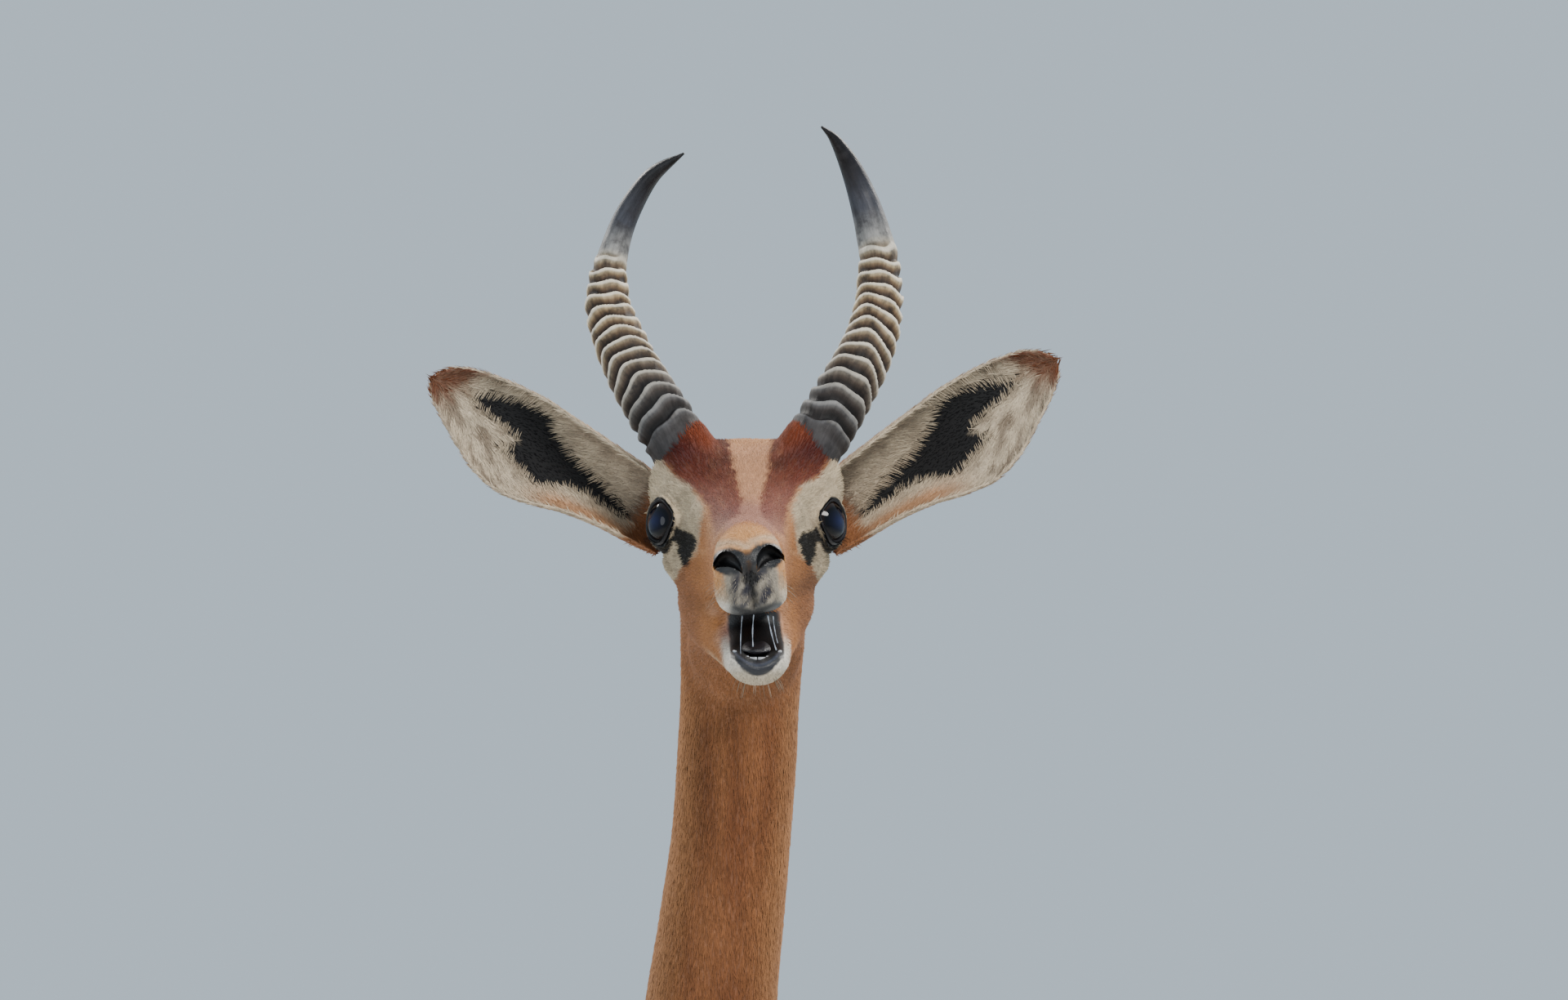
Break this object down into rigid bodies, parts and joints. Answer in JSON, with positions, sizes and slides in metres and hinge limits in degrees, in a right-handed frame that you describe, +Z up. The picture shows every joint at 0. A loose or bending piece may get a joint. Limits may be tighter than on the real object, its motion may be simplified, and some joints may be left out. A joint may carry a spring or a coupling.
{
  "type": "gerenuk",
  "caption": "Life-size long-necked antelope standing on four slender legs, head up with lyre-shaped ringed horns, wide cupped ears and open mouth.",
  "frame": {"origin": "on the floor under the middle of the animal's bounding box", "axes": "+Z up, the head faces -Y, +X is the animal's own left"},
  "size_m": [0.3588, 1.0903, 1.6761],
  "materials": {
    "coat": "short smooth fawn and reddish-brown fur",
    "coat_dark": "long blackish hair",
    "ear_hair": "soft cream hair with dark streaks",
    "horn": "ringed horn, dull below and smooth at the tips",
    "hoof": "dull black horn",
    "eye": "wet, very dark brown",
    "tongue": "moist grey-pink skin"
  },
  "bodies": {
    "root": {"ear_left": "ear_hair", "ear_right": "ear_hair", "eye_left": "eye", "eye_right": "eye", "fore_cannon_left": "coat", "fore_cannon_right": "coat", "forearm_left": "coat", "forearm_right": "coat", "gaskin_left": "coat", "gaskin_right": "coat", "head": "coat", "hind_cannon_left": "coat", "hind_cannon_right": "coat", "hoof_fore_left_inner": "hoof", "hoof_fore_left_outer": "hoof", "hoof_fore_right_inner": "hoof", "hoof_fore_right_outer": "hoof", "hoof_hind_left_inner": "hoof", "hoof_hind_left_outer": "hoof", "hoof_hind_right_inner": "hoof", "hoof_hind_right_outer": "hoof", "horn_left": "horn", "horn_right": "horn", "lower_jaw": "coat", "neck": "coat", "tail": "coat_dark", "tongue": "tongue", "torso": "coat"}
  },
  "joints": []
}
